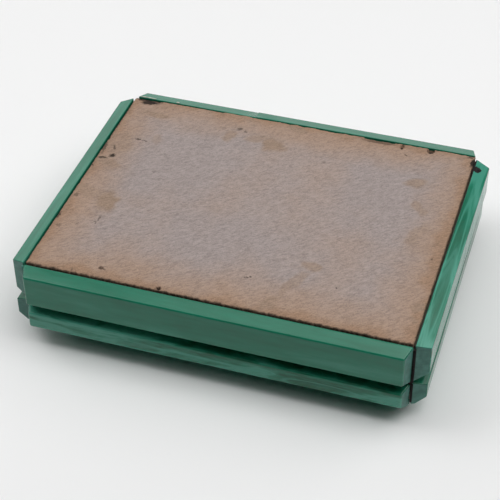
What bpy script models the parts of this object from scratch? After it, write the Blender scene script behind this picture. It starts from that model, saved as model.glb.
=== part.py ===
"""Flat lidded powder box of marbled cast plastic, lying upside down on its lid.

Metres, +Z up, origin under the middle of the box on the surface it lies on.
The long side runs along X and the front faces -Y. The lid is underneath, lying on
its raised plate, and the base stands on it with its fibreboard bottom facing up,
so "top" and "bottom" in the names of sizes below mean up and down in this position.
"""

import math

import bmesh
import bpy

MM = 0.001

# Plan of the box: the rectangle that the inner faces of all eight bars stand on.
INNER_HALF_X = 65.0 * MM
INNER_HALF_Y = 50.4 * MM

# Thickness of the bars: the two short sides, then the two long sides.
BASE_BAR_X = 4.85 * MM
BASE_BAR_Y = 5.3 * MM
LID_BAR_INSET = 0.45 * MM
LID_BAR_X = BASE_BAR_X - LID_BAR_INSET
LID_BAR_Y = BASE_BAR_Y - LID_BAR_INSET

# Raised plate on the outside of the lid, which keeps the bars off the surface.
GAP = 0.3 * MM
PLATE_THICK = 5.4 * MM
PLATE_INSET = 12.0 * MM
PLATE_ROUND = 0.7 * MM
LID_BOTTOM = PLATE_THICK + GAP

# Heights of the bars' edges, from the surface up.
LID_FACE_BOTTOM = LID_BOTTOM + 2.5 * MM
LID_FACE_TOP = LID_BOTTOM + 8.6 * MM
LID_INNER_TOP = LID_BOTTOM + 9.65 * MM
BASE_INNER_BOTTOM = LID_INNER_TOP + GAP
BASE_FACE_BOTTOM = LID_BOTTOM + 12.35 * MM
LEFT_FACE_BOTTOM = LID_BOTTOM + 12.0 * MM
RIGHT_FACE_BOTTOM = LID_BOTTOM + 13.2 * MM
BASE_FACE_TOP = LID_BOTTOM + 24.2 * MM
BASE_INNER_TOP = LID_BOTTOM + 25.65 * MM
LID_LAND = 0.8 * MM
EDGE_ROUND = 0.3 * MM
EDGE_SEGMENTS = 3

# The ends of the bars are cut on a slant: each end sits back from the corner of
# the inner rectangle by one amount on its inner face and by another on its outer face.
CUT_INNER = 0.3 * MM
CUT_OUTER = 2.1 * MM
SIDE_CUT_OUTER = 2.25 * MM
SHORT_CUT_INNER = 1.7 * MM
SHORT_CUT_OUTER = 3.4 * MM
SQUARE_CUT_OUTER = 0.5 * MM

# Bottom board, let in between the base bars and standing a little proud of them.
BOARD_HALF_X = INNER_HALF_X - 0.6 * MM
BOARD_HALF_Y = INNER_HALF_Y - 0.45 * MM
BOARD_TOP = BASE_INNER_TOP + 0.15 * MM
BOARD_THICK = 2.0 * MM
BOARD_BOTTOM = BOARD_TOP - BOARD_THICK

# Lining strips inside the base bars. They reach past the bars as the lip that
# the lid drops over.
LINER_THICK = 1.5 * MM
LIP = 3.2 * MM
LINER_TOP = BOARD_BOTTOM - GAP
LINER_BOTTOM = LID_INNER_TOP - LIP
LINER_OUTER_X = INNER_HALF_X - GAP
LINER_OUTER_Y = INNER_HALF_Y - GAP
LINER_INNER_X = LINER_OUTER_X - LINER_THICK
LINER_INNER_Y = LINER_OUTER_Y - LINER_THICK

# Paper-covered card on the inside of the bottom board.
FLOOR_CARD_THICK = 0.5 * MM
FLOOR_CARD_TOP = BOARD_BOTTOM - GAP
FLOOR_CARD_BOTTOM = FLOOR_CARD_TOP - FLOOR_CARD_THICK

# Wooden glue blocks in the corners of the lining.
BLOCK_LEG = 5.0 * MM
BLOCK_BOTTOM = LID_BOTTOM + 12.0 * MM
BLOCK_TOP = FLOOR_CARD_BOTTOM - GAP

# Pressed-glass tray that holds the powder, mouth towards the lid.
TRAY_HALF_X = LINER_INNER_X - 0.4 * MM
TRAY_HALF_Y = LINER_INNER_Y - 0.4 * MM
TRAY_CORNER = 9.0 * MM
TRAY_CORNER_STEPS = 6
TRAY_RIM = LID_BOTTOM + 10.3 * MM
TRAY_FOOT = FLOOR_CARD_BOTTOM - GAP
TRAY_WALL = 2.2 * MM
TRAY_FLOOR = 2.4 * MM
TRAY_DRAFT = 0.8 * MM
TRAY_FOOT_ROUND = 1.2 * MM
TRAY_WELL_ROUND = 1.6 * MM

# Sheet and boards of the lid, let in between the lid bars.
LID_SHEET_HALF_X = INNER_HALF_X - GAP
LID_SHEET_HALF_Y = INNER_HALF_Y - GAP
LID_PANEL_TOP = LID_BOTTOM + 2.0 * MM
LID_BOARD_BOTTOM = LID_PANEL_TOP + GAP
LID_BOARD_THICK = 2.5 * MM
LID_CARD_BOTTOM = LID_BOARD_BOTTOM + LID_BOARD_THICK + GAP
LID_CARD_THICK = 0.5 * MM
LID_CARD_INSET = 0.5 * MM


def clear_scene():
    for old in list(bpy.data.objects):
        bpy.data.objects.remove(old, do_unlink=True)


def finish_material(name, colour, roughness, metallic=0.0, alpha=1.0):
    material = bpy.data.materials.new(name)
    material.use_nodes = True
    shader = material.node_tree.nodes["Principled BSDF"]
    shader.inputs["Base Color"].default_value = (*colour, 1.0)
    shader.inputs["Roughness"].default_value = roughness
    shader.inputs["Metallic"].default_value = metallic
    shader.inputs["Alpha"].default_value = alpha
    return material


def make_object(name, bm, material):
    bmesh.ops.recalc_face_normals(bm, faces=bm.faces)
    mesh = bpy.data.meshes.new(name)
    bm.to_mesh(mesh)
    bm.free()
    mesh.materials.append(material)
    made = bpy.data.objects.new(name, mesh)
    bpy.context.scene.collection.objects.link(made)
    return made


def round_edges(made, width, segments):
    bevel = made.modifiers.new("rounded_edges", "BEVEL")
    bevel.width = width
    bevel.segments = segments
    bevel.limit_method = "ANGLE"
    bevel.angle_limit = math.radians(10.0)


def bar(name, side, section, cuts, material):
    """Prism along one side of the box.

    section is a closed outline of (distance outwards from the inner face, height).
    cuts are (inner, outer) set-backs of the end at low X or Y and of the other end.
    """
    across_x = side in ("left", "right")
    outwards = 1.0 if side in ("right", "back") else -1.0
    inner_half, corner = (INNER_HALF_X, INNER_HALF_Y) if across_x else (INNER_HALF_Y, INNER_HALF_X)
    thickness = max(out for out, height in section)
    bm = bmesh.new()
    rings = []
    for direction, (cut_inner, cut_outer) in zip((-1.0, 1.0), cuts):
        ring = []
        for out, height in section:
            set_back = cut_inner + (cut_outer - cut_inner) * out / thickness
            along = direction * (corner - set_back)
            across = outwards * (inner_half + out)
            place = (across, along, height) if across_x else (along, across, height)
            ring.append(bm.verts.new(place))
        rings.append(ring)
    for ring in rings:
        bm.faces.new(ring)
    edges = [edge for edge in bm.edges]
    bmesh.ops.bridge_loops(bm, edges=edges)
    made = make_object(name, bm, material)
    round_edges(made, EDGE_ROUND, EDGE_SEGMENTS)
    return made


def base_section(thickness, face_bottom):
    """Vertical face, sloping shoulder above it, and a steeper slope that opens the groove."""
    return [
        (0.0, BASE_INNER_BOTTOM),
        (thickness, face_bottom),
        (thickness, BASE_FACE_TOP),
        (0.0, BASE_INNER_TOP),
    ]


def lid_section(thickness):
    """Narrow land level with the lid's sheet, wide bevel, vertical face, and the groove's lower slope."""
    return [
        (0.0, LID_BOTTOM),
        (LID_LAND, LID_BOTTOM),
        (thickness, LID_FACE_BOTTOM),
        (thickness, LID_FACE_TOP),
        (0.0, LID_INNER_TOP),
    ]


def slab(name, low, high, material, edge=0.0):
    """Rectangular sheet between two corners."""
    bm = bmesh.new()
    bmesh.ops.create_cube(bm, size=1.0)
    for vert in bm.verts:
        for axis in range(3):
            vert.co[axis] = low[axis] if vert.co[axis] < 0.0 else high[axis]
    made = make_object(name, bm, material)
    if edge > 0.0:
        round_edges(made, edge, 2)
    return made


def centred_slab(name, half_x, half_y, bottom, top, material, edge=0.0):
    return slab(name, (-half_x, -half_y, bottom), (half_x, half_y, top), material, edge)


def corner_block(name, sign_x, sign_y, material):
    """Triangular glue block in one corner of the lining."""
    corner_x = sign_x * (LINER_INNER_X - GAP)
    corner_y = sign_y * (LINER_INNER_Y - GAP)
    bm = bmesh.new()
    foot = [
        bm.verts.new((corner_x, corner_y, BLOCK_BOTTOM)),
        bm.verts.new((corner_x - sign_x * BLOCK_LEG, corner_y, BLOCK_BOTTOM)),
        bm.verts.new((corner_x, corner_y - sign_y * BLOCK_LEG, BLOCK_BOTTOM)),
    ]
    face = bm.faces.new(foot)
    grown = bmesh.ops.extrude_face_region(bm, geom=[face])
    lifted = [item for item in grown["geom"] if isinstance(item, bmesh.types.BMVert)]
    bmesh.ops.translate(bm, verts=lifted, vec=(0.0, 0.0, BLOCK_TOP - BLOCK_BOTTOM))
    return make_object(name, bm, material)


def rounded_ring(bm, half_x, half_y, radius, height):
    """One closed ring of a rounded rectangle."""
    ring = []
    corners = ((1, 1, 0), (-1, 1, 90), (-1, -1, 180), (1, -1, 270))
    for sign_x, sign_y, start in corners:
        centre_x = sign_x * (half_x - radius)
        centre_y = sign_y * (half_y - radius)
        for step in range(TRAY_CORNER_STEPS + 1):
            angle = math.radians(start + 90.0 * step / TRAY_CORNER_STEPS)
            x = centre_x + radius * math.cos(angle)
            y = centre_y + radius * math.sin(angle)
            ring.append(bm.verts.new((x, y, height)))
    return ring


def tray(name, material):
    """Dish with slightly drafted walls, turned mouth down."""
    levels = (
        (TRAY_DRAFT + TRAY_FOOT_ROUND, TRAY_FOOT),
        (TRAY_DRAFT, TRAY_FOOT - TRAY_FOOT_ROUND),
        (0.0, TRAY_RIM),
        (TRAY_WALL, TRAY_RIM),
        (TRAY_WALL + TRAY_DRAFT, TRAY_FOOT - TRAY_FLOOR - TRAY_WELL_ROUND),
        (TRAY_WALL + TRAY_DRAFT + TRAY_WELL_ROUND, TRAY_FOOT - TRAY_FLOOR),
    )
    bm = bmesh.new()
    rings = []
    for inset, height in levels:
        rings.append(
            rounded_ring(bm, TRAY_HALF_X - inset, TRAY_HALF_Y - inset, TRAY_CORNER - inset, height)
        )
    count = len(rings[0])
    for lower, upper in zip(rings, rings[1:]):
        for index in range(count):
            following = (index + 1) % count
            bm.faces.new((lower[index], lower[following], upper[following], upper[index]))
    bm.faces.new(rings[0])
    bm.faces.new(rings[-1])
    return make_object(name, bm, material)


def build_base(plastic, fibre, card, wood, glass):
    long_cuts = ((CUT_INNER, CUT_OUTER), (CUT_INNER, CUT_OUTER))
    back_cuts = ((4.0 * CUT_INNER, CUT_OUTER + 2.0 * CUT_INNER), (3.0 * CUT_INNER, CUT_OUTER + CUT_INNER))
    side_cuts = ((CUT_INNER, SIDE_CUT_OUTER), (SHORT_CUT_INNER, SHORT_CUT_OUTER))
    long_section = base_section(BASE_BAR_Y, BASE_FACE_BOTTOM)
    bar("base_front_wall", "front", long_section, long_cuts, plastic)
    bar("base_back_wall", "back", long_section, back_cuts, plastic)
    bar("base_left_wall", "left", base_section(BASE_BAR_X, LEFT_FACE_BOTTOM), side_cuts, plastic)
    bar("base_right_wall", "right", base_section(BASE_BAR_X, RIGHT_FACE_BOTTOM), side_cuts, plastic)
    centred_slab("bottom_board", BOARD_HALF_X, BOARD_HALF_Y, BOARD_BOTTOM, BOARD_TOP, fibre)
    floor_half_x = LINER_INNER_X - GAP
    floor_half_y = LINER_INNER_Y - GAP
    centred_slab("base_floor_card", floor_half_x, floor_half_y, FLOOR_CARD_BOTTOM, FLOOR_CARD_TOP, card)
    for side, sign in (("front", -1.0), ("back", 1.0)):
        faces = sorted((sign * LINER_OUTER_Y, sign * LINER_INNER_Y))
        low = (-LINER_OUTER_X, faces[0], LINER_BOTTOM)
        high = (LINER_OUTER_X, faces[1], LINER_TOP)
        slab(f"base_{side}_liner", low, high, card)
    for side, sign in (("left", -1.0), ("right", 1.0)):
        faces = sorted((sign * LINER_OUTER_X, sign * LINER_INNER_X))
        low = (faces[0], -LINER_INNER_Y + GAP, LINER_BOTTOM)
        high = (faces[1], LINER_INNER_Y - GAP, LINER_TOP)
        slab(f"base_{side}_liner", low, high, card)
    for depth, sign_y in (("front", -1.0), ("back", 1.0)):
        for side, sign_x in (("left", -1.0), ("right", 1.0)):
            corner_block(f"corner_block_{depth}_{side}", sign_x, sign_y, wood)
    tray("powder_tray", glass)


def build_lid(plastic, fibre, card):
    long_cuts = ((CUT_INNER, CUT_OUTER), (CUT_INNER, CUT_OUTER))
    right_cuts = ((CUT_INNER, SIDE_CUT_OUTER), (SHORT_CUT_INNER, SHORT_CUT_OUTER))
    left_cuts = ((CUT_INNER, SQUARE_CUT_OUTER), (SHORT_CUT_INNER, SHORT_CUT_OUTER))
    bar("lid_front_wall", "front", lid_section(LID_BAR_Y), long_cuts, plastic)
    bar("lid_back_wall", "back", lid_section(LID_BAR_Y), long_cuts, plastic)
    bar("lid_left_wall", "left", lid_section(LID_BAR_X), left_cuts, plastic)
    bar("lid_right_wall", "right", lid_section(LID_BAR_X), right_cuts, plastic)
    plate_half_x = INNER_HALF_X - PLATE_INSET
    plate_half_y = INNER_HALF_Y - PLATE_INSET
    centred_slab("lid_raised_plate", plate_half_x, plate_half_y, 0.0, PLATE_THICK, plastic, PLATE_ROUND)
    centred_slab("lid_panel", LID_SHEET_HALF_X, LID_SHEET_HALF_Y, LID_BOTTOM, LID_PANEL_TOP, plastic)
    board_top = LID_BOARD_BOTTOM + LID_BOARD_THICK
    centred_slab("lid_board", LID_SHEET_HALF_X, LID_SHEET_HALF_Y, LID_BOARD_BOTTOM, board_top, fibre)
    card_half_x = LID_SHEET_HALF_X - LID_CARD_INSET
    card_half_y = LID_SHEET_HALF_Y - LID_CARD_INSET
    card_top = LID_CARD_BOTTOM + LID_CARD_THICK
    centred_slab("lid_lining_card", card_half_x, card_half_y, LID_CARD_BOTTOM, card_top, card)


def main():
    clear_scene()
    plastic = finish_material("marbled_plastic", (0.06, 0.19, 0.15), 0.18)
    fibre = finish_material("fibreboard", (0.36, 0.27, 0.24), 0.85)
    card = finish_material("lining_card", (0.62, 0.57, 0.47), 0.8)
    wood = finish_material("glue_block_wood", (0.52, 0.38, 0.23), 0.7)
    glass = finish_material("pressed_glass", (0.85, 0.92, 0.9), 0.05, alpha=0.35)
    build_base(plastic, fibre, card, wood, glass)
    build_lid(plastic, fibre, card)


main()
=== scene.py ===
# %% [markdown]
# # A marbled powder box, lying upside down
# This lesson builds the outside of an old dresser powder box. Its walls are eight
# bars of green cast plastic, polished to slopes and glued round a fibreboard
# bottom. The box lies on its lid, so the fibreboard faces up. The measured model
# comes in first and stays fixed: every piece made below is cut to fit it.

# %% Load the measured model
import math

import bpy
from mathutils import Matrix, Vector


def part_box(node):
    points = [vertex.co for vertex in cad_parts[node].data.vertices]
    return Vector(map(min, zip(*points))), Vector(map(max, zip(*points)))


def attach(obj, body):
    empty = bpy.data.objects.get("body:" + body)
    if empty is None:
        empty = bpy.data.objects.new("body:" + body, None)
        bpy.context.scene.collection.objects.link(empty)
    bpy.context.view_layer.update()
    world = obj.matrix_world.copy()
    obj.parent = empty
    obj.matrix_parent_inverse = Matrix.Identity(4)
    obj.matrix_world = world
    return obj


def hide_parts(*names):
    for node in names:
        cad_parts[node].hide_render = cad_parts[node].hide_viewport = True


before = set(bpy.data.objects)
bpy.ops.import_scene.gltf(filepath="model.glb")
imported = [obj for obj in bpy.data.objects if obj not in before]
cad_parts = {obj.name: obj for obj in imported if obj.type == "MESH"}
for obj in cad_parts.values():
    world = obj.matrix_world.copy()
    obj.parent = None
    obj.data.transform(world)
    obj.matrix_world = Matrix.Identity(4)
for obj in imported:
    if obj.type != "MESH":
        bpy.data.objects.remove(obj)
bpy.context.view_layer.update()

MM = 0.001

# %% [markdown]
# ## The camera first
# A camera that is placed before anything is modelled keeps every later choice
# honest. This one stands in front and a little to the right, and looks down by
# about forty degrees through a long lens, so that far edges hardly shrink.

# %% Camera
CAMERA_SPOT = Vector((113.1, -358.2, 331.8)) * MM
CAMERA_TURN = 18.08
CAMERA_LOOK_DOWN = 40.375
CAMERA_ROLL = -0.51
LENS = 102.07
camera_data = bpy.data.cameras.new("camera")
camera_data.lens = LENS
camera_data.sensor_width = 36.0
camera_data.clip_start = 0.01
camera = bpy.data.objects.new("camera", camera_data)
bpy.context.scene.collection.objects.link(camera)
turned = Matrix.Rotation(math.radians(CAMERA_TURN), 4, "Z")
tipped = Matrix.Rotation(math.radians(90.0 - CAMERA_LOOK_DOWN), 4, "X")
levelled = Matrix.Rotation(math.radians(CAMERA_ROLL), 4, "Z")
camera.matrix_world = Matrix.Translation(CAMERA_SPOT) @ turned @ tipped @ levelled
bpy.context.scene.camera = camera
bpy.context.scene.view_settings.view_transform = "Standard"
print("camera stands", round(CAMERA_SPOT.length / MM), "mm from the middle of the box")

# %% [markdown]
# ## Floor and light
# The floor is a sheet of matt white card. The light is a ring of big soft boxes:
# most of it comes from straight above and from behind on both sides, and almost
# none from the camera's side, so the front walls stay deep green and a soft
# shadow lies in front of the box. The polish of the plastic mirrors the lamps, and
# small square lamps draw hard bright patches there, so the lamps that the slopes
# mirror are broad and correspondingly gentle. A lamp is hidden from the camera
# only: it lights the plastic and shows in its polish like any real lamp.

# %% Floor
bpy.ops.object.select_all(action="DESELECT")
bpy.ops.mesh.primitive_plane_add(size=4.0, location=(0.0, 0.0, -0.1 * MM))
floor = bpy.context.object
floor.name = "floor"
floor_finish = bpy.data.materials.new("matt_white_card")
floor_finish.use_nodes = True
floor_shader = floor_finish.node_tree.nodes["Principled BSDF"]
floor_shader.inputs["Base Color"].default_value = (0.85, 0.85, 0.85, 1.0)
floor_shader.inputs["Roughness"].default_value = 0.6
floor_shader.inputs["Specular IOR Level"].default_value = 0.2
floor.data.materials.append(floor_finish)

# %% Soft boxes
# (name, azimuth, elevation, width, height, watts)
SOFT_BOXES = (
    ("overhead", 0.0, 90.0, 0.72, 0.72, 2.70),
    ("behind_low", 335.0, 14.0, 1.60, 0.50, 2.40),
    ("behind_left", 315.0, 34.0, 0.80, 0.60, 0.70),
    ("behind_right", 45.0, 38.0, 0.55, 0.55, 1.80),
    ("left", 270.0, 38.0, 0.95, 0.80, 2.25),
    ("left_high", 262.0, 56.0, 0.45, 0.45, 2.05),
    ("right_high", 90.0, 52.0, 0.45, 0.45, 1.75),
    ("front_right_high", 135.0, 54.0, 0.45, 0.45, 0.70),
    ("behind_right_top", 60.0, 70.0, 0.70, 0.70, 1.35),
    ("front_right_top", 120.0, 70.0, 0.45, 0.45, 0.95),
)


def soft_box(name, azimuth, elevation, width, height, watts):
    """Lamp one metre off, facing the box; azimuth 0 is behind it, 90 is to its right."""
    lamp = bpy.data.lights.new(name, "AREA")
    lamp.shape = "RECTANGLE"
    lamp.size = width
    lamp.size_y = height
    lamp.energy = watts
    holder = bpy.data.objects.new(name, lamp)
    bpy.context.scene.collection.objects.link(holder)
    round_angle = math.radians(azimuth)
    up_angle = math.radians(elevation)
    level = math.cos(up_angle)
    aim = Vector((math.sin(round_angle) * level, math.cos(round_angle) * level, math.sin(up_angle)))
    holder.location = aim
    holder.rotation_euler = (-aim).to_track_quat("-Z", "Y").to_euler()
    holder.visible_camera = False


for row in SOFT_BOXES:
    soft_box(*row)
print(len(SOFT_BOXES), "soft boxes,", round(sum(row[5] for row in SOFT_BOXES), 1), "W in all")

# %% [markdown]
# ## Small tools for mixing finishes
# Every finish below is a tree of nodes that reads Object coordinates, which are
# metres in the box's own frame, so grain and swirls keep their real size. Short
# helpers save typing: they add a node and fill its sockets, make a colour ramp,
# mix two colours, do a sum, or turn a value into a smooth step.

# %% Node helpers
def node(tree, kind, sockets=None, **settings):
    """Add a node; a socket given another node's output is wired, any other value is set."""
    made = tree.nodes.new(kind)
    for key, value in settings.items():
        setattr(made, key, value)
    for key, value in (sockets or {}).items():
        if isinstance(value, bpy.types.NodeSocket):
            tree.links.new(value, made.inputs[key])
        else:
            made.inputs[key].default_value = value
    return made


def ramp(tree, amount, stops, interpolation="LINEAR"):
    """Colour ramp from (position, colour) stops."""
    made = node(tree, "ShaderNodeValToRGB", {"Fac": amount})
    made.color_ramp.interpolation = interpolation
    points = made.color_ramp.elements
    while len(points) < len(stops):
        points.new(0.5)
    for point, (position, colour) in zip(points, stops):
        point.position = position
        point.color = (*colour, 1.0)
    return made.outputs["Color"]


def grey(value):
    return (value, value, value)


def mix(tree, amount, first, second, how="MIX"):
    """Mix two colours by an amount, which may be a number or a socket."""
    made = tree.nodes.new("ShaderNodeMix")
    made.data_type = "RGBA"
    made.blend_type = how
    for index, value in ((0, amount), (6, first), (7, second)):
        if isinstance(value, bpy.types.NodeSocket):
            tree.links.new(value, made.inputs[index])
        elif index == 0:
            made.inputs[index].default_value = value
        else:
            made.inputs[index].default_value = (*value, 1.0)
    return made.outputs[2]


def calc(tree, how, first, second=0.0, third=0.5):
    return node(tree, "ShaderNodeMath", {0: first, 1: second, 2: third}, operation=how).outputs[0]


def spread(tree, value, low, high, out_low=0.0, out_high=1.0):
    """Smooth step of a value between two limits."""
    sockets = {"Value": value, 1: low, 2: high, 3: out_low, 4: out_high}
    return node(tree, "ShaderNodeMapRange", sockets, interpolation_type="SMOOTHSTEP").outputs[0]


def new_finish(name, roughness):
    """Material, its tree, its shader and its Object coordinates."""
    material = bpy.data.materials.new(name)
    material.use_nodes = True
    tree = material.node_tree
    shader = tree.nodes["Principled BSDF"]
    shader.inputs["Roughness"].default_value = roughness
    where = node(tree, "ShaderNodeTexCoord").outputs["Object"]
    return material, tree, shader, where


# %% [markdown]
# ## Marbled cast plastic
# The resin was stirred in two greens and poured, so each bar shows long drifting
# bands that close into eyes where the saw met a fold. Contour lines of a slow
# noise give just that: a noise value is multiplied and folded back and forth,
# which draws nested bands, and the pattern is stretched along the bar. Fine
# lengthwise streaks lie over it. The polish is uneven, so roughness wanders.

# %% Marbled plastic
DEEP_GREEN = (0.003, 0.085, 0.042)
MID_GREEN = (0.007, 0.165, 0.095)
PALE_GREEN = (0.050, 0.270, 0.190)


def marbled_plastic(name, stretch, place, folds=3.0, contrast=1.0, turn=0.0, eyes=()):
    """stretch is the pattern's repeats per metre on each axis, place slides it.

    eyes are closed pale loops, each given by its middle and half sizes in mm.
    """
    material, tree, shader, where = new_finish(name, 0.2)
    laid = node(
        tree, "ShaderNodeMapping",
        {"Vector": where, "Location": place, "Rotation": (0.0, 0.0, turn), "Scale": stretch},
    ).outputs[0]
    drift = node(
        tree, "ShaderNodeTexNoise",
        {"Vector": laid, "Scale": 1.0, "Detail": 2.0, "Roughness": 0.45, "Distortion": 0.6},
    ).outputs["Fac"]
    folded = calc(tree, "PINGPONG", calc(tree, "MULTIPLY", drift, 2.0 * folds), 1.0)
    bands = ramp(
        tree, folded,
        ((0.0, grey(0.30)), (0.35, grey(0.42)), (0.62, grey(0.55)), (0.86, grey(0.95)), (1.0, grey(0.70))),
        "EASE",
    )
    fine = node(
        tree, "ShaderNodeMapping",
        {"Vector": where, "Location": place, "Scale": tuple(9.0 * part for part in stretch)},
    ).outputs[0]
    streaks = node(
        tree, "ShaderNodeTexNoise",
        {"Vector": fine, "Scale": 1.0, "Detail": 3.0, "Roughness": 0.55, "Distortion": 0.3},
    ).outputs["Fac"]
    shade = calc(tree, "ADD", bands, calc(tree, "MULTIPLY", calc(tree, "SUBTRACT", streaks, 0.5), 0.9))
    shade = calc(tree, "MULTIPLY_ADD", calc(tree, "SUBTRACT", shade, 0.5), contrast, 0.5)
    colour = ramp(tree, shade, ((0.05, DEEP_GREEN), (0.5, MID_GREEN), (1.0, PALE_GREEN)))
    for middle, half in eyes:
        local = node(
            tree, "ShaderNodeMapping",
            {
                "Vector": where, "Location": tuple(part * MM for part in middle),
                "Scale": tuple(part * MM for part in half),
            },
            vector_type="TEXTURE",
        ).outputs[0]
        reach = node(tree, "ShaderNodeVectorMath", {0: local}, operation="LENGTH").outputs["Value"]
        reach = calc(tree, "ADD", reach, calc(tree, "MULTIPLY", calc(tree, "SUBTRACT", drift, 0.5), 0.7))
        loop = spread(tree, calc(tree, "ABSOLUTE", calc(tree, "SUBTRACT", reach, 0.9)), 0.0, 0.16, 0.75, 0.0)
        colour = mix(tree, spread(tree, reach, 0.5, 0.95, 0.45, 0.0), colour, DEEP_GREEN)
        colour = mix(tree, loop, colour, PALE_GREEN)
    tree.links.new(colour, shader.inputs["Base Color"])
    polish = node(tree, "ShaderNodeTexNoise", {"Vector": where, "Scale": 140.0, "Detail": 4.0}).outputs["Fac"]
    rough = node(
        tree, "ShaderNodeMapRange", {"Value": polish, 1: 0.3, 2: 0.7, 3: 0.16, 4: 0.26}
    ).outputs[0]
    tree.links.new(rough, shader.inputs["Roughness"])
    scuffs = node(
        tree, "ShaderNodeTexNoise",
        {"Vector": fine, "Scale": 6.0, "Detail": 5.0, "Roughness": 0.65},
    ).outputs["Fac"]
    bump = node(
        tree, "ShaderNodeBump", {"Strength": 0.12, "Distance": 0.0001, "Height": scuffs}
    ).outputs[0]
    tree.links.new(bump, shader.inputs["Normal"])
    shader.inputs["IOR"].default_value = 1.46
    return material


# %% [markdown]
# ## Sawn ends
# Where a bar was cut to length its end was only rubbed down, not polished. It is
# duller and a touch greyer than the faces, with fine parallel saw lines.

# %% Sawn plastic
def sawn_plastic():
    material, tree, shader, where = new_finish("sawn_plastic_end", 0.45)
    cloud = node(tree, "ShaderNodeTexNoise", {"Vector": where, "Scale": 420.0, "Detail": 3.0}).outputs["Fac"]
    colour = ramp(tree, cloud, ((0.3, (0.012, 0.105, 0.078)), (0.7, (0.045, 0.190, 0.150))))
    lines = node(
        tree, "ShaderNodeMapping", {"Vector": where, "Scale": (400.0, 400.0, 4200.0)}
    ).outputs[0]
    saw_marks = node(
        tree, "ShaderNodeTexNoise", {"Vector": lines, "Scale": 1.0, "Detail": 2.0}
    ).outputs["Fac"]
    tree.links.new(mix(tree, 0.25, colour, saw_marks, "SOFT_LIGHT"), shader.inputs["Base Color"])
    bump = node(
        tree, "ShaderNodeBump", {"Strength": 0.35, "Distance": 0.0001, "Height": saw_marks}
    ).outputs[0]
    tree.links.new(bump, shader.inputs["Normal"])
    return material


sawn_end = sawn_plastic()
print("finish for the cut ends:", sawn_end.name)

# %% [markdown]
# ## The eight bars
# Each wall is one straight bar. A real maker planes a strip to its section and
# then saws both ends on a slant, and the same order works here: a block the
# size of the bar is cut by one plane for each slope and one for each end. The
# bisect operator does a saw's job, because it can clear what is outside the cut
# and close the wound. Extruding a drawn section would also work, but cuts are
# easier to change one at a time.

# %% Where the bars go
INNER_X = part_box("base_right_wall")[0].x
INNER_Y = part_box("base_back_wall")[0].y
SIDES = {
    "front": (Vector((0.0, -1.0, 0.0)), Vector((1.0, 0.0, 0.0)), INNER_Y, INNER_X),
    "back": (Vector((0.0, 1.0, 0.0)), Vector((1.0, 0.0, 0.0)), INNER_Y, INNER_X),
    "left": (Vector((-1.0, 0.0, 0.0)), Vector((0.0, 1.0, 0.0)), INNER_X, INNER_Y),
    "right": (Vector((1.0, 0.0, 0.0)), Vector((0.0, 1.0, 0.0)), INNER_X, INNER_Y),
}
UP = Vector((0.0, 0.0, 1.0))
print("bars stand round a rectangle of", round(2 * INNER_X / MM, 1), "by", round(2 * INNER_Y / MM, 1), "mm")

# %% Sawing helpers
def block(name, low, high):
    """Plain block between two corners, with its place and size already in its mesh."""
    bpy.ops.object.select_all(action="DESELECT")
    middle = (Vector(low) + Vector(high)) / 2.0
    size = Vector(high) - Vector(low)
    bpy.ops.mesh.primitive_cube_add(size=1.0, location=middle, scale=size)
    made = bpy.context.object
    made.name = name
    made.data.name = name
    bpy.ops.object.transform_apply(location=True, rotation=True, scale=True)
    return made


def saw(point, towards_waste):
    """Cut through point and throw away the side that towards_waste points to."""
    bpy.ops.mesh.select_all(action="SELECT")
    bpy.ops.mesh.bisect(
        plane_co=point, plane_no=towards_waste.normalized(), use_fill=True, clear_outer=True,
        threshold=0.000001,
    )


def score(point, normal):
    """Draw a line round the piece without cutting anything off."""
    bpy.ops.mesh.select_all(action="SELECT")
    bpy.ops.mesh.bisect(plane_co=point, plane_no=normal.normalized(), threshold=0.000001)


# %% Cutting one bar
EDGE_ROUND = {"front": 0.6 * MM, "back": 0.3 * MM, "left": 0.3 * MM, "right": 0.32 * MM}
STATIONS = 22


def cut_bar(name, side, slopes, cuts, taper=(0.0, 0.0)):
    """slopes are pairs of (distance out, height); cuts are (inner, outer) set-backs of both ends."""
    out, along, inner, corner = SIDES[side]
    low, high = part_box(name)
    thick = max(abs(low.dot(out)), abs(high.dot(out))) - inner
    spare = max(0.0, *taper)
    near = out * inner - along * corner + UP * low.z
    far = out * (inner + thick + spare) + along * corner + UP * high.z
    bar = block(name + "_bar", tuple(map(min, near, far)), tuple(map(max, near, far)))
    bpy.ops.object.mode_set(mode="EDIT")
    middle = Vector((thick / 2.0, (low.z + high.z) / 2.0))
    for (out_a, up_a), (out_b, up_b) in slopes:
        start = Vector((out_a, up_a))
        run = Vector((out_b, up_b)) - start
        normal = Vector((run.y, -run.x))
        if normal.dot(start - middle) < 0.0:
            normal = -normal
        saw(out * (inner + start.x) + UP * start.y, out * normal.x + UP * normal.y)
    if any(taper):
        first = out * (inner + thick + taper[0]) - along * corner
        last = out * (inner + thick + taper[1]) + along * corner
        waste = (last - first).cross(UP)
        saw(first, waste if waste.dot(out) > 0.0 else -waste)
    for direction, (cut_in, cut_out) in zip((-1.0, 1.0), cuts):
        start = out * inner + along * direction * (corner - cut_in)
        end = out * (inner + thick) + along * direction * (corner - cut_out)
        waste = (end - start).cross(UP)
        saw(start, waste if waste.dot(along) * direction > 0.0 else -waste)
    for step in range(1, STATIONS):
        score(along * corner * (2.0 * step / STATIONS - 1.0), along)
    bpy.ops.object.mode_set(mode="OBJECT")
    return bar


# %% [markdown]
# ## Softening the bars
# Hand polishing leaves the long faces very slightly wavy and every edge a little
# round. A Displace modifier with a slow cloud texture gives the waviness, a
# Bevel rounds the edges, most of all along the front where hands rubbed it, and
# weighted normals keep the broad faces flat in the light. Each modifier is
# applied, so the shape stays in the mesh.

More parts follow.
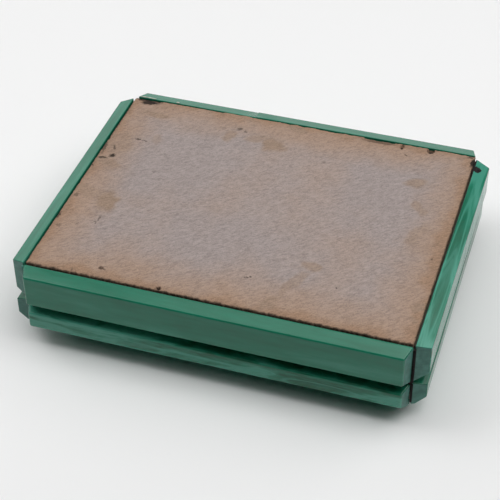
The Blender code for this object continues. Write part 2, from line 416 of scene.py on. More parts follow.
# %% Polishing helpers
slow_cloud = bpy.data.textures.new("slow_cloud", "CLOUDS")
slow_cloud.noise_scale = 0.03
slow_cloud.noise_depth = 1
SHARP_EDGE = math.radians(9.0)
END_FACING = 0.86


def apply_modifiers(piece):
    bpy.ops.object.select_all(action="DESELECT")
    piece.select_set(True)
    bpy.context.view_layer.objects.active = piece
    for modifier in list(piece.modifiers):
        bpy.ops.object.modifier_apply(modifier=modifier.name)


def polish_bar(bar, side, finish):
    wave = bar.modifiers.new("wave", "DISPLACE")
    wave.texture = slow_cloud
    wave.texture_coords = "LOCAL"
    wave.strength = 0.09 * MM
    wave.mid_level = 1.0
    edges = bar.modifiers.new("edges", "BEVEL")
    edges.width = EDGE_ROUND[side]
    edges.segments = 3
    edges.limit_method = "ANGLE"
    edges.angle_limit = SHARP_EDGE
    apply_modifiers(bar)
    bar.data.materials.append(finish)
    bar.data.materials.append(sawn_end)
    along = SIDES[side][1]
    for face in bar.data.polygons:
        face.material_index = 1 if abs(face.normal.dot(along)) > END_FACING else 0
    bpy.ops.object.shade_smooth()
    bar.modifiers.new("flat_faces", "WEIGHTED_NORMAL")
    apply_modifiers(bar)
    return bar


# %% [markdown]
# ## Base bars
# The base bars have an upright face with a gentle shoulder above it. Below, a
# long slope runs back inwards and opens the groove where a thumb lifts the lid.
# The slopes aren't all alike: the right bar's upright face is shorter than the
# left one's, as hand-planed strips are.

# %% Base bars
base_low, base_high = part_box("base_front_wall")
SHOULDER_DROP = 1.45 * MM
FACE_BOTTOMS = {"front": 2.4 * MM, "back": 2.4 * MM, "left": 2.05 * MM, "right": 3.25 * MM}
BASE_CUTS = {
    "front": ((0.3 * MM, 2.1 * MM), (0.3 * MM, 2.1 * MM)),
    "back": ((1.2 * MM, 2.7 * MM), (0.9 * MM, 2.4 * MM)),
    "left": ((0.3 * MM, 2.25 * MM), (1.7 * MM, 3.4 * MM)),
    "right": ((0.3 * MM, 2.25 * MM), (1.7 * MM, 3.4 * MM)),
}
BASE_MARBLE = {
    "front": ((9.0, 60.0, 75.0), (3.1, 0.4, 0.0), 1.6, 0.5),
    "back": ((9.0, 70.0, 80.0), (7.3, 2.0, 1.0), 1.8, 0.6),
    "left": ((70.0, 9.0, 80.0), (1.2, 5.0, 2.0), 1.8, 0.7),
    "right": ((120.0, 8.0, 110.0), (4.7, 8.1, 3.0), 2.8, 1.5),
}
# Where the saw met a fold in the right bar, a long pale loop closes near its front end.
BASE_EYES = {"right": (((67.1, -9.0, 30.0), (1.9, 42.0, 1000.0)),)}
base_bars = {}
for side, (stretch, place, folds, contrast) in BASE_MARBLE.items():
    node_name = f"base_{side}_wall"
    low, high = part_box(node_name)
    thick = max(abs(low.dot(SIDES[side][0])), abs(high.dot(SIDES[side][0]))) - SIDES[side][2]
    slopes = (
        ((0.0, high.z), (thick, high.z - SHOULDER_DROP)),
        ((0.0, low.z), (thick, low.z + FACE_BOTTOMS[side])),
    )
    bar = cut_bar(node_name, side, slopes, BASE_CUTS[side])
    eyes = BASE_EYES.get(side, ())
    finish = marbled_plastic(f"marbled_base_{side}", stretch, place, folds, contrast, 0.0, eyes)
    base_bars[side] = polish_bar(bar, side, finish)
    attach(bar, "base")
    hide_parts(node_name)
    print(bar.name, len(bar.data.polygons), "faces")

# %% [markdown]
# ## Lid bars
# The lid bars are lower. A wide bevel runs round their outer edge, and a short
# slope forms the other half of the groove. The right one was planed out of
# true: it is thicker at the front than at the back, so the groove's dark line
# thins out towards the back.

# %% Lid bars
LID_CUTS = {
    "front": ((0.3 * MM, 2.1 * MM), (0.3 * MM, 2.1 * MM)),
    "back": ((0.3 * MM, 2.1 * MM), (0.3 * MM, 2.1 * MM)),
    "left": ((0.3 * MM, 0.5 * MM), (1.7 * MM, 3.4 * MM)),
    "right": ((0.3 * MM, 2.25 * MM), (1.7 * MM, 3.4 * MM)),
}
LID_MARBLE = {
    "front": ((20.0, 60.0, 150.0), (5.2, 1.4, 6.0), 2.6, 1.9),
    "back": ((12.0, 60.0, 120.0), (2.3, 4.0, 5.0), 2.2, 1.3),
    "left": ((60.0, 12.0, 120.0), (6.1, 3.0, 4.0), 2.2, 1.3),
    "right": ((60.0, 12.0, 120.0), (8.4, 1.1, 7.0), 2.2, 1.3),
}
LID_BEVEL = 2.5 * MM
LID_LAND = 1.3 * MM
LID_SHOULDER = 1.05 * MM
LID_EYES = {"front": (((-24.0, -55.0, 10.0), (11.0, 1000.0, 1.6)), ((38.0, -55.0, 9.5), (14.0, 1000.0, 1.8)))}
for side, (stretch, place, folds, contrast) in LID_MARBLE.items():
    node_name = f"lid_{side}_wall"
    low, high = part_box(node_name)
    thick = max(abs(low.dot(SIDES[side][0])), abs(high.dot(SIDES[side][0]))) - SIDES[side][2]
    slopes = (
        ((0.0, high.z), (thick, high.z - LID_SHOULDER)),
        ((LID_LAND, low.z), (thick, low.z + LID_BEVEL)),
    )
    taper = (0.25 * MM, -0.3 * MM) if side == "right" else (0.0, 0.0)
    bar = cut_bar(node_name, side, slopes, LID_CUTS[side], taper)
    eyes = LID_EYES.get(side, ())
    finish = marbled_plastic(f"marbled_lid_{side}", stretch, place, folds, contrast, 0.0, eyes)
    polish_bar(bar, side, finish)
    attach(bar, "lid")
    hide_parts(node_name)
    print(bar.name, len(bar.data.polygons), "faces")

# %% [markdown]
# ## The crack in the back bar
# The back bar has snapped and been glued again, and its left part sits a hair
# lower. Two lines scored close together give the step its two sides, and then
# everything to the left of them is moved.

# %% Crack
CRACK_X = -16.0 * MM
CRACK_HALF = 0.1 * MM
CRACK_SLANT = Vector((1.0, 0.12, 0.05))
CRACK_STEP = (0.0, -0.12 * MM, -0.14 * MM)
back_bar = base_bars["back"]
bpy.ops.object.select_all(action="DESELECT")
back_bar.select_set(True)
bpy.context.view_layer.objects.active = back_bar
bpy.ops.object.mode_set(mode="EDIT")
bpy.ops.mesh.select_mode(type="VERT")
score(Vector((CRACK_X - CRACK_HALF, INNER_Y, 0.0)), CRACK_SLANT)
score(Vector((CRACK_X + CRACK_HALF, INNER_Y, 0.0)), CRACK_SLANT)
bpy.ops.mesh.select_all(action="DESELECT")
bpy.ops.object.mode_set(mode="OBJECT")
for vertex in back_bar.data.vertices:
    place = vertex.co - Vector((CRACK_X, INNER_Y, 0.0))
    vertex.select = place.dot(CRACK_SLANT) < 0.0
bpy.ops.object.mode_set(mode="EDIT")
bpy.ops.transform.translate(value=CRACK_STEP)
bpy.ops.object.mode_set(mode="OBJECT")
print("moved", sum(vertex.select for vertex in back_bar.data.vertices), "points of the back bar")

# %% [markdown]
# ## Fibreboard
# The bottom is pressed paper fibre. Its middle has kept a grey mauve, while the
# rim has gone brown where damp and hands reached it. Close up there are slanting
# fibres about a millimetre long. Stains and dirt are ovals with ragged edges,
# each made by measuring the distance from its own middle.

# %% Fibreboard finish
BOARD_GREY = (0.314, 0.266, 0.252)
BOARD_WARM = (0.334, 0.261, 0.226)
BOARD_BROWN = (0.338, 0.222, 0.150)
BOARD_RUST = (0.270, 0.160, 0.095)
# Near-black for real dirt marks and for painted shade in the gaps.
DIRT_AND_SHADE = (0.030, 0.022, 0.018)
TEA = (0.280, 0.200, 0.148)

# (x, y, half width, half depth, turn, strength), in mm and degrees
DARK_MARKS = (
    (-64.3, 33.0, 0.5, 13.0, 0.0, 0.55),
    (-63.8, 17.0, 0.9, 5.0, 8.0, 0.50),
    (-63.9, -24.0, 0.7, 2.2, 0.0, 0.60),
    (-53.9, 24.6, 1.4, 0.55, -6.0, 0.55),
    (-51.4, 24.2, 1.5, 0.45, -14.0, 0.50),
    (-60.1, 17.2, 0.6, 1.7, 14.0, 0.50),
    (-59.0, 12.6, 1.3, 1.2, 0.0, 0.75),
    (-62.0, 10.5, 2.2, 0.6, 5.0, 0.60),
    (-63.8, 5.6, 0.35, 0.9, 20.0, 0.60),
    (-50.0, -21.8, 0.55, 1.9, -8.0, 0.45),
    (-50.4, -24.0, 0.5, 0.9, 30.0, 0.40),
    (-39.8, -45.1, 0.85, 0.8, 0.0, 0.95),
    (-38.5, -45.4, 0.8, 0.4, -10.0, 0.45),
    (-18.5, -48.7, 0.85, 0.8, 0.0, 0.95),
    (6.3, -35.5, 0.65, 0.5, 0.0, 0.65),
    (7.5, -35.2, 0.55, 0.5, 0.0, 0.60),
    (35.1, -31.6, 0.5, 0.5, 0.0, 0.60),
    (61.1, -9.2, 0.5, 0.6, 0.0, 0.45),
    (-56.2, -26.4, 0.6, 0.6, 0.0, 0.30),
    (-62.6, -11.8, 1.0, 1.2, 0.0, 0.40),
    (-61.6, -28.8, 1.4, 1.0, -20.0, 0.30),
    (-20.8, 41.2, 1.2, 0.8, 0.0, 0.45),
    (-18.2, 40.2, 0.6, 1.1, 30.0, 0.35),
    (48.4, 48.6, 1.4, 1.7, -20.0, 0.85),
    (38.1, 48.0, 0.65, 1.7, 6.0, 0.80),
    (40.4, 43.6, 0.5, 0.35, 0.0, 0.55),
    (-59.0, 47.6, 3.0, 2.0, -8.0, 0.75),
    (-60.0, 49.3, 5.0, 0.8, 0.0, 0.80),
    (63.9, 46.2, 0.9, 3.2, -6.0, 0.80),
    (62.6, 48.9, 1.3, 0.7, 20.0, 0.60),
    (-57.5, 48.4, 4.2, 1.5, -8.0, 0.80),
    (-45.0, 49.9, 18.0, 0.6, 0.0, 0.80),
    (29.5, 48.7, 7.2, 1.3, 0.0, 0.45),
    (-48.4, -48.6, 0.6, 0.8, 20.0, 0.35),
    (13.8, 31.0, 0.9, 0.9, 0.0, 0.20),
    (-41.5, 8.0, 0.7, 0.8, 20.0, 0.25),
)
STAINS = (
    (-7.0, 35.2, 4.6, 4.6, 10.0, 0.90),
    (-14.0, 37.0, 5.5, 3.0, 25.0, 0.54),
    (0.0, 47.0, 5.0, 3.0, 0.0, 0.81),
    (-23.5, 36.0, 1.8, 4.0, 20.0, 0.64),
    (-50.5, -12.5, 4.6, 6.0, 0.0, 0.95),
    (-57.0, -9.0, 7.0, 3.0, 0.0, 0.54),
    (47.0, 28.5, 4.5, 3.5, 20.0, 0.72),
    (24.5, -23.5, 3.2, 3.6, 0.0, 0.64),
    (21.5, -34.0, 2.2, 8.0, -4.0, 0.51),
    (17.5, -45.0, 2.4, 5.0, -35.0, 0.72),
    (51.5, 15.0, 2.2, 3.4, 0.0, 0.54),
    (54.5, 3.0, 3.0, 8.0, 0.0, 0.45),
    (-53.0, 42.0, 7.0, 3.0, -8.0, 0.81),
    (-46.0, 27.5, 2.0, 4.0, 20.0, 0.36),
    (62.5, -33.0, 2.2, 3.4, 0.0, 0.81),
    (62.0, -40.0, 2.6, 1.6, 0.0, 0.64),
    (-59.0, 8.0, 5.0, 4.0, 0.0, 0.72),
    (-59.0, 20.0, 5.0, 9.0, 0.0, 0.45),
)


def fibreboard(name, marks=(), stains=(), half_x=1.0, half_y=1.0):
    material, tree, shader, where = new_finish(name, 0.92)
    shader.inputs["Specular IOR Level"].default_value = 0.15
    warp = node(tree, "ShaderNodeTexNoise", {"Vector": where, "Scale": 900.0, "Detail": 2.0}).outputs["Color"]
    slow = node(tree, "ShaderNodeTexNoise", {"Vector": where, "Scale": 110.0, "Detail": 4.0}).outputs["Color"]

    def jolt(colour, reach):
        """Object coordinates pushed about by a noise colour."""
        centred = node(
            tree, "ShaderNodeVectorMath", {0: colour, 1: grey(0.5)}, operation="SUBTRACT"
        ).outputs[0]
        pushed = node(
            tree, "ShaderNodeVectorMath", {0: centred, 1: grey(reach), 2: where}, operation="MULTIPLY_ADD"
        )
        return pushed.outputs[0]

    def oval(spot, x, y, wide, deep, turn, strength, soft):
        """strength in the middle of an oval, fading to nothing at its edge."""
        local = node(
            tree, "ShaderNodeMapping",
            {
                "Vector": spot, "Location": (x * MM, y * MM, 0.0),
                "Rotation": (0.0, 0.0, math.radians(turn)), "Scale": (wide * MM, deep * MM, 1.0),
            },
            vector_type="TEXTURE",
        ).outputs[0]
        reach = node(tree, "ShaderNodeVectorMath", {0: local}, operation="LENGTH").outputs["Value"]
        return spread(tree, reach, 1.15, soft, 0.0, strength)

    near = jolt(warp, 2.0 * MM)
    wide = jolt(slow, 11.0 * MM)
    cloudy = node(tree, "ShaderNodeTexNoise", {"Vector": where, "Scale": 26.0, "Detail": 5.0}).outputs["Fac"]
    colour = mix(tree, spread(tree, cloudy, 0.38, 0.66), BOARD_GREY, BOARD_WARM)

    apart = node(tree, "ShaderNodeSeparateXYZ", {0: wide})
    across = calc(tree, "SUBTRACT", calc(tree, "ABSOLUTE", apart.outputs[0]), half_x)
    deep = calc(tree, "SUBTRACT", calc(tree, "ABSOLUTE", apart.outputs[1]), half_y)
    rim = calc(tree, "MAXIMUM", across, deep)
    warm_rim = spread(tree, rim, -20.0 * MM, -1.0 * MM, 0.0, 0.7)
    colour = mix(tree, warm_rim, colour, BOARD_BROWN)
    brown_rim = spread(tree, rim, -5.0 * MM, 0.0, 0.0, 0.55)
    colour = mix(tree, brown_rim, colour, BOARD_RUST)

    tint = None
    for row in stains:
        one = oval(wide, *row, 0.55)
        tint = one if tint is None else calc(tree, "MAXIMUM", tint, one)
    if tint is not None:
        colour = mix(tree, tint, colour, TEA)

    slant = node(
        tree, "ShaderNodeMapping",
        {
            "Vector": where, "Rotation": (0.0, 0.0, math.radians(40.0)),
            "Scale": (1.9 * MM, 0.62 * MM, 1.1 * MM),
        },
        vector_type="TEXTURE",
    ).outputs[0]
    fibres = node(
        tree, "ShaderNodeTexNoise",
        {"Vector": slant, "Scale": 1.0, "Detail": 4.0, "Roughness": 0.6, "Distortion": 0.5},
    ).outputs["Fac"]
    flecks = node(
        tree, "ShaderNodeTexNoise", {"Vector": where, "Scale": 2600.0, "Detail": 2.0}
    ).outputs["Fac"]
    grain = calc(tree, "MULTIPLY_ADD", flecks, 0.4, calc(tree, "MULTIPLY", fibres, 0.6))
    grained = ramp(tree, grain, ((0.36, grey(0.74)), (0.50, grey(0.98)), (0.64, grey(1.20))))
    colour = mix(tree, 1.0, colour, grained, "MULTIPLY")
    # Painted shade: a near-black band along the board's front and side edges, where the gaps to the bars lie
    # in shadow; the back edge stays clean.
    close = node(tree, "ShaderNodeSeparateXYZ", {0: near})
    edge_x = calc(tree, "SUBTRACT", calc(tree, "ABSOLUTE", close.outputs[0]), half_x + 0.55 * MM)
    edge_y = calc(tree, "SUBTRACT", -half_y, close.outputs[1])
    painted_gap_shade = spread(tree, calc(tree, "MAXIMUM", edge_x, edge_y), -0.9 * MM, 0.0, 0.0, 0.85)
    colour = mix(tree, painted_gap_shade, colour, DIRT_AND_SHADE)

    dirt = None
    for row in marks:
        one = oval(near, *row[:5], min(1.0, 1.3 * row[5]), 0.45)
        dirt = one if dirt is None else calc(tree, "MAXIMUM", dirt, one)
    if dirt is not None:
        colour = mix(tree, dirt, colour, DIRT_AND_SHADE)
    tree.links.new(colour, shader.inputs["Base Color"])
    bump = node(
        tree, "ShaderNodeBump", {"Strength": 0.9, "Distance": 0.00025, "Height": grain}
    ).outputs[0]
    tree.links.new(bump, shader.inputs["Normal"])
    return material


board_low, board_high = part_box("bottom_board")
worn_fibre = fibreboard("worn_fibreboard", DARK_MARKS, STAINS, board_high.x, board_high.y)
plain_fibre = fibreboard("plain_fibreboard")
print("fibreboard finish has", len(worn_fibre.node_tree.nodes), "nodes")

# %% [markdown]
# ## The bottom board
# A plain slab would give itself away at once, because real board is torn and
# fuzzy along its rim. So the top starts as a fine grid, its border is extruded
# down in three steps for the rim and closed underneath. Displace modifiers that
# act only near the border, by a vertex group, then pull the outline about.

# %% Board blank
bpy.ops.object.select_all(action="DESELECT")
board_size = board_high - board_low
board_inset = 0.22 * MM
bpy.ops.mesh.primitive_grid_add(
    x_subdivisions=290, y_subdivisions=224, size=1.0,
    location=(0.0, 0.0, board_high.z - 0.12 * MM),
)
board = bpy.context.object
board.scale = (board_size.x - 2.0 * board_inset, board_size.y - 2.0 * board_inset, 1.0)
board.name = "bottom_fibreboard"
board.data.name = board.name
bpy.ops.object.transform_apply(location=True, rotation=True, scale=True)
bpy.ops.object.mode_set(mode="EDIT")
bpy.ops.mesh.select_mode(type="EDGE")
bpy.ops.mesh.select_all(action="DESELECT")
bpy.ops.mesh.select_non_manifold()
for drop in (0.5, 0.6, 0.78):
    bpy.ops.mesh.extrude_region_move(TRANSFORM_OT_translate={"value": (0.0, 0.0, -drop * MM)})
bpy.ops.mesh.edge_face_add()
bpy.ops.mesh.select_all(action="SELECT")
bpy.ops.mesh.normals_make_consistent(inside=False)
bpy.ops.object.mode_set(mode="OBJECT")
print("board blank:", len(board.data.vertices), "points,", round(board_size.z / MM, 2), "mm thick")

# %% Helpers for picking points by place
def pick(piece, test):
    """Leave only the points that pass the test selected, and open the piece for editing."""
    bpy.ops.object.mode_set(mode="OBJECT")
    bpy.ops.object.select_all(action="DESELECT")
    piece.select_set(True)
    bpy.context.view_layer.objects.active = piece
    bpy.ops.object.mode_set(mode="EDIT")
    bpy.ops.mesh.select_mode(type="VERT")
    bpy.ops.mesh.select_all(action="DESELECT")
    bpy.ops.object.mode_set(mode="OBJECT")
    for vertex in piece.data.vertices:
        vertex.select = test(vertex.co)
    bpy.ops.object.mode_set(mode="EDIT")


def in_oval(x, y, wide, deep, turn=0.0):
    """Test for points of the board's top that lie in an oval given in mm and degrees."""
    cosine = math.cos(math.radians(turn))
    sine = math.sin(math.radians(turn))
    top = board_high.z - 0.5 * MM

    def test(point):
        across = point.x / MM - x
        away = point.y / MM - y
        u = (across * cosine + away * sine) / wide
        v = (away * cosine - across * sine) / deep
        return point.z > top and u * u + v * v < 1.0

    return test


def push(piece, test, move):
    """Push the picked points by a distance in mm."""
    pick(piece, test)
    bpy.ops.transform.translate(value=tuple(part * MM for part in move))
    bpy.ops.object.mode_set(mode="OBJECT")


# %% Holes, notches and torn layers
# (x, y, half width, half depth), in mm; dents and torn layers add how deep they go
PINHOLES = (
    (-39.8, -45.1, 0.7, 0.65),
    (-18.5, -48.7, 0.7, 0.65),
    (38.1, 48.1, 0.7, 1.5),
    (48.4, 48.7, 1.3, 1.5),
)
DENTS = (
    (-59.0, 12.6, 1.1, 1.0, 0.15),
    (-53.0, 24.4, 2.6, 0.45, 0.12),
    (6.8, -35.4, 1.1, 0.5, 0.15),
    (35.1, -31.6, 0.5, 0.5, 0.2),
    (40.4, 43.6, 0.7, 0.6, 0.25),
    (-20.8, 41.2, 1.2, 0.8, 0.1),
)
TORN_LAYERS = (
    (-59.3, 48.2, 4.0, 2.0, 0.55),
    (-59.0, 49.6, 6.0, 1.2, 0.75),
    (29.5, 49.0, 6.8, 1.4, 0.40),
    (-45.0, 50.2, 18.0, 0.9, 0.45),
    (12.0, 50.2, 2.4, 0.6, 0.50),
    (-65.0, 22.0, 0.9, 1.6, 0.70),
    (-65.0, -23.5, 0.8, 1.4, 0.60),
)
for x, y, wide, deep in PINHOLES:
    pick(board, in_oval(x, y, wide + 0.6, deep + 0.6))
    bpy.ops.mesh.select_mode(type="FACE")
    bpy.ops.mesh.subdivide(number_cuts=2)
    push(board, in_oval(x, y, wide + 0.15, deep + 0.15), (0.0, 0.0, -0.25))
    push(board, in_oval(x, y, wide, deep), (0.0, 0.0, -0.9))
for x, y, wide, deep, depth in DENTS:
    push(board, in_oval(x, y, wide, deep), (0.0, 0.0, -0.6 * depth))
    push(board, in_oval(x, y, 0.6 * wide, 0.6 * deep), (0.0, 0.0, -0.4 * depth))
for x, y, wide, deep, depth in TORN_LAYERS:
    push(board, in_oval(x, y, wide, deep), (0.0, 0.0, -depth))
print(len(PINHOLES), "holes,", len(DENTS), "dents and", len(TORN_LAYERS), "torn places")

# %% Ragged rim
rim_group = board.vertex_groups.new(name="rim")
top_group = board.vertex_groups.new(name="top")
for vertex in board.data.vertices:
    to_rim = min(board_high.x - abs(vertex.co.x), board_high.y - abs(vertex.co.y)) / MM
    weight = max(0.0, 1.0 - to_rim / 1.5)
    if weight > 0.0:
        rim_group.add([vertex.index], weight * weight, "REPLACE")
    if vertex.co.z > board_high.z - 1.5 * MM:
        top_group.add([vertex.index], 1.0, "REPLACE")

torn_cloud = bpy.data.textures.new("torn_cloud", "CLOUDS")
torn_cloud.noise_scale = 0.0028
torn_cloud.noise_depth = 3
fuzz_cloud = bpy.data.textures.new("fuzz_cloud", "CLOUDS")
fuzz_cloud.noise_scale = 0.0009
fuzz_cloud.noise_depth = 2
pulp_cloud = bpy.data.textures.new("pulp_cloud", "CLOUDS")
pulp_cloud.noise_scale = 0.0016
pulp_cloud.noise_depth = 2
for label, direction, texture, strength, middle, group in (
    ("pull_x", "X", torn_cloud, 0.7, 0.5, "rim"),
    ("pull_y", "Y", torn_cloud, 0.7, 0.5, "rim"),
    ("fuzz_x", "X", fuzz_cloud, 0.55, 0.5, "rim"),
    ("fuzz_y", "Y", fuzz_cloud, 0.55, 0.5, "rim"),
    ("sag", "Z", torn_cloud, 0.55, 0.95, "rim"),
    ("pulp", "Z", pulp_cloud, 0.16, 0.6, "top"),
    ("swell", "Z", slow_cloud, 0.15, 0.6, "top"),
):
    modifier = board.modifiers.new(label, "DISPLACE")
    modifier.direction = direction
    modifier.texture = texture
    modifier.texture_coords = "LOCAL"
    modifier.strength = strength * MM
    modifier.mid_level = middle
    modifier.vertex_group = group
apply_modifiers(board)
bpy.ops.object.shade_smooth()
board.data.materials.append(worn_fibre)
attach(board, "base")
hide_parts("bottom_board")
highest = max(vertex.co.z for vertex in board.data.vertices)
print("board top now", round((board_high.z - highest) / MM, 3), "mm under the measured top")

# %% [markdown]
# ## Grime and glue
# A black lump of old grime has run over the back right corner, and flakes of
# pale glue stick out of the joint at the back left. Each is a small ball that is
# flattened, moved to its place and roughened by a cloud texture. The open corners
# between the bars are filled with columns of old glue, made from thin blocks.

# %% Grime and glue finishes
def crusty(name, low, high, roughness, scale):
    material, tree, shader, where = new_finish(name, roughness)
    shader.inputs["Specular IOR Level"].default_value = 0.15
    cloud = node(tree, "ShaderNodeTexNoise", {"Vector": where, "Scale": scale, "Detail": 5.0}).outputs["Fac"]
    tree.links.new(ramp(tree, cloud, ((0.3, low), (0.7, high))), shader.inputs["Base Color"])
    bump = node(tree, "ShaderNodeBump", {"Strength": 0.6, "Distance": 0.0002, "Height": cloud}).outputs[0]
    tree.links.new(bump, shader.inputs["Normal"])
    return material


grime = crusty("old_grime", (0.006, 0.006, 0.006), (0.026, 0.022, 0.022), 0.8, 900.0)
dried_glue = crusty("dried_glue", (0.30, 0.33, 0.27), (0.55, 0.60, 0.50), 0.5, 700.0)

# %% Lumps
crust_cloud = bpy.data.textures.new("crust_cloud", "CLOUDS")
crust_cloud.noise_scale = 0.0011
crust_cloud.noise_depth = 3


def lump(name, x, y, z, size, finish, tilt=0.0, rough=0.3):
    """Flattened, crusty blob; x, y, z and its three half sizes in mm, tilt about Y in degrees."""
    bpy.ops.object.select_all(action="DESELECT")
    bpy.ops.mesh.primitive_ico_sphere_add(subdivisions=4, radius=1.0, location=(0.0, 0.0, 0.0))
    made = bpy.context.object
    made.name = name
    made.data.name = name
    made.scale = tuple(part * MM for part in size)
    made.rotation_euler = (0.0, math.radians(tilt), 0.0)
    made.location = (x * MM, y * MM, z * MM)
    bpy.ops.object.transform_apply(location=True, rotation=True, scale=True)
    crust = made.modifiers.new("crust", "DISPLACE")
    crust.texture = crust_cloud
    crust.texture_coords = "LOCAL"
    crust.strength = rough * MM
    apply_modifiers(made)
    bpy.ops.object.shade_smooth()
    made.data.materials.append(finish)
    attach(made, "base")


# %% Glue columns
GLUE_HALF = 0.30 * MM
GLUE_PAST_CORNER = 0.12 * MM


def glue_column(name, sign_x, sign_y, low, high, body, finish):
    """Old glue that fills the open corner between two bars."""
    x = sign_x * (INNER_X + GLUE_PAST_CORNER)
    y = sign_y * (INNER_Y + GLUE_PAST_CORNER)
    column = block(name, (x - GLUE_HALF, y - GLUE_HALF, low), (x + GLUE_HALF, y + GLUE_HALF, high))
    bpy.ops.object.mode_set(mode="EDIT")
    bpy.ops.mesh.select_all(action="SELECT")
    bpy.ops.mesh.subdivide(number_cuts=6)
    bpy.ops.object.mode_set(mode="OBJECT")
    crust = column.modifiers.new("crust", "DISPLACE")
    crust.texture = crust_cloud
    crust.texture_coords = "LOCAL"
    crust.strength = 0.18 * MM
    crust.mid_level = 0.6
    apply_modifiers(column)
    bpy.ops.object.shade_smooth()
    column.data.materials.append(finish)
    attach(column, body)


lid_low, lid_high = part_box("lid_front_wall")
BASE_GLUE_BOTTOM = base_low.z + 0.3 * MM
LID_GLUE_BOTTOM = lid_low.z + 1.6 * MM
LID_GLUE_TOP = lid_high.z - 0.3 * MM
BASE_GLUE_TOPS = {"front": base_high.z - 1.1 * MM, "back": base_high.z - 2.8 * MM}
for depth, sign_y in (("front", -1.0), ("back", 1.0)):
    for hand, sign_x in (("left", -1.0), ("right", 1.0)):
        name = f"glue_{depth}_{hand}"
        filler = sawn_end if (depth, hand) == ("front", "left") else grime
        glue_top = BASE_GLUE_TOPS[depth]
        glue_column("base_" + name, sign_x, sign_y, BASE_GLUE_BOTTOM, glue_top, "base", filler)
        glue_column("lid_" + name, sign_x, sign_y, LID_GLUE_BOTTOM, LID_GLUE_TOP, "lid", filler)
print("corners filled with glue columns", round(2.0 * GLUE_HALF / MM, 1), "mm wide")

# %% Flakes and lumps on the rim
RIM_Z = base_high.z / MM
lump("grime_lump", 66.0, 43.2, RIM_Z - 0.42, (1.5, 1.9, 0.30), grime, 16.0, 0.5)
lump("grime_in_gap", 64.85, 44.6, RIM_Z - 0.45, (0.42, 4.3, 0.5), grime, 0.0, 0.35)
lump("glue_flake_corner", -60.6, 50.75, RIM_Z - 0.16, (2.6, 0.28, 0.12), dried_glue, 0.0, 0.2)
lump("glue_flake_edge", -57.6, 50.6, RIM_Z - 0.08, (1.0, 0.2, 0.1), dried_glue, 0.0, 0.2)
lump("glue_chip", -48.2, 50.8, RIM_Z - 0.12, (0.7, 0.35, 0.16), dried_glue, 0.0, 0.2)
print("lumps of grime and glue placed round the rim")

# %% [markdown]
# ## Inside the box
# These pieces show only when the base is lifted off the lid. Their measured
# shapes are right, so they keep them and only get finishes: paper-covered card
# for the linings, softwood for the glue blocks, pressed glass for the tray.

# %% Painted shade in the lining
def gap_and_corner_shade(tree, where):
    """Painted shade on the paper: along the top under the board's gap, and in the corners."""
    place = node(tree, "ShaderNodeSeparateXYZ", {0: where})
    at_top = spread(tree, place.outputs[2], base_high.z - 4.0 * MM, base_high.z - 1.5 * MM)
    not_behind = spread(tree, place.outputs[1], INNER_Y - 1.5 * MM, INNER_Y - 0.9 * MM, 1.0, 0.15)
    past_x = calc(tree, "SUBTRACT", calc(tree, "ABSOLUTE", place.outputs[0]), INNER_X)
    past_y = calc(tree, "SUBTRACT", calc(tree, "ABSOLUTE", place.outputs[1]), INNER_Y)
    in_corner = spread(tree, calc(tree, "MINIMUM", past_x, past_y), -4.0 * MM, -2.0 * MM)
    return calc(tree, "MAXIMUM", calc(tree, "MULTIPLY", at_top, not_behind), in_corner)


# %% Lining paper
def lining_paper():
    material, tree, shader, where = new_finish("lining_paper", 0.85)
    age = node(tree, "ShaderNodeTexNoise", {"Vector": where, "Scale": 45.0, "Detail": 6.0}).outputs["Fac"]
    fibres = node(
        tree, "ShaderNodeTexNoise", {"Vector": where, "Scale": 1400.0, "Detail": 3.0, "Distortion": 1.0}
    ).outputs["Fac"]
    colour = ramp(tree, age, ((0.35, (0.50, 0.43, 0.31)), (0.65, (0.70, 0.64, 0.52))))
    colour = mix(tree, 0.35, colour, ramp(tree, fibres, ((0.3, grey(0.7)), (0.7, grey(1.1)))), "MULTIPLY")
    # Painted shade: the paper is darkened along its top, less so behind, and in its corners.
    colour = mix(tree, gap_and_corner_shade(tree, where), colour, DIRT_AND_SHADE)
    tree.links.new(colour, shader.inputs["Base Color"])
    bump = node(tree, "ShaderNodeBump", {"Strength": 0.3, "Distance": 0.0001, "Height": fibres}).outputs[0]
    tree.links.new(bump, shader.inputs["Normal"])
    return material


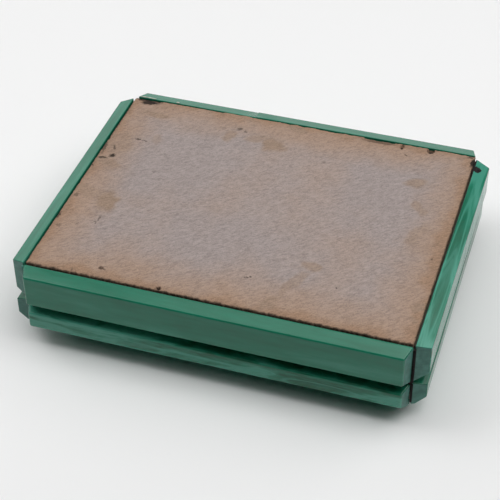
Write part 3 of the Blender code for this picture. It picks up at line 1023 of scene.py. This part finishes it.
# %% Softwood
def softwood():
    material, tree, shader, where = new_finish("softwood_block", 0.7)
    laid = node(tree, "ShaderNodeMapping", {"Vector": where, "Scale": (900.0, 900.0, 60.0)}).outputs[0]
    grain = node(
        tree, "ShaderNodeTexNoise", {"Vector": laid, "Scale": 1.0, "Detail": 4.0, "Distortion": 0.8}
    ).outputs["Fac"]
    colour = ramp(tree, grain, ((0.3, (0.30, 0.18, 0.09)), (0.6, (0.55, 0.39, 0.22))))
    tree.links.new(colour, shader.inputs["Base Color"])
    bump = node(tree, "ShaderNodeBump", {"Strength": 0.3, "Distance": 0.0001, "Height": grain}).outputs[0]
    tree.links.new(bump, shader.inputs["Normal"])
    return material


# %% Pressed glass
def pressed_glass():
    material, tree, shader, where = new_finish("pressed_glass", 0.04)
    shader.inputs["Base Color"].default_value = (0.90, 0.96, 0.93, 1.0)
    shader.inputs["Transmission Weight"].default_value = 1.0
    shader.inputs["IOR"].default_value = 1.5
    ripple = node(tree, "ShaderNodeTexNoise", {"Vector": where, "Scale": 90.0, "Detail": 2.0}).outputs["Fac"]
    bump = node(tree, "ShaderNodeBump", {"Strength": 0.25, "Distance": 0.0006, "Height": ripple}).outputs[0]
    tree.links.new(bump, shader.inputs["Normal"])
    return material


# %% Give the inner pieces their finishes
paper = lining_paper()
wood = softwood()
glass = pressed_glass()
plate_plastic = marbled_plastic("marbled_plate", (22.0, 30.0, 30.0), (2.2, 6.4, 1.0), 3.0, 1.1, 0.3)
FINISHES = {
    "base_floor_card": paper, "base_front_liner": paper, "base_back_liner": paper,
    "base_left_liner": paper, "base_right_liner": paper, "lid_lining_card": paper,
    "corner_block_front_left": wood, "corner_block_front_right": wood,
    "corner_block_back_left": wood, "corner_block_back_right": wood,
    "powder_tray": glass, "lid_board": plain_fibre,
    "lid_panel": plate_plastic, "lid_raised_plate": plate_plastic,
}
for node_name, finish in FINISHES.items():
    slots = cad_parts[node_name].data.materials
    slots.clear()
    slots.append(finish)
print(len(FINISHES), "inner pieces finished")
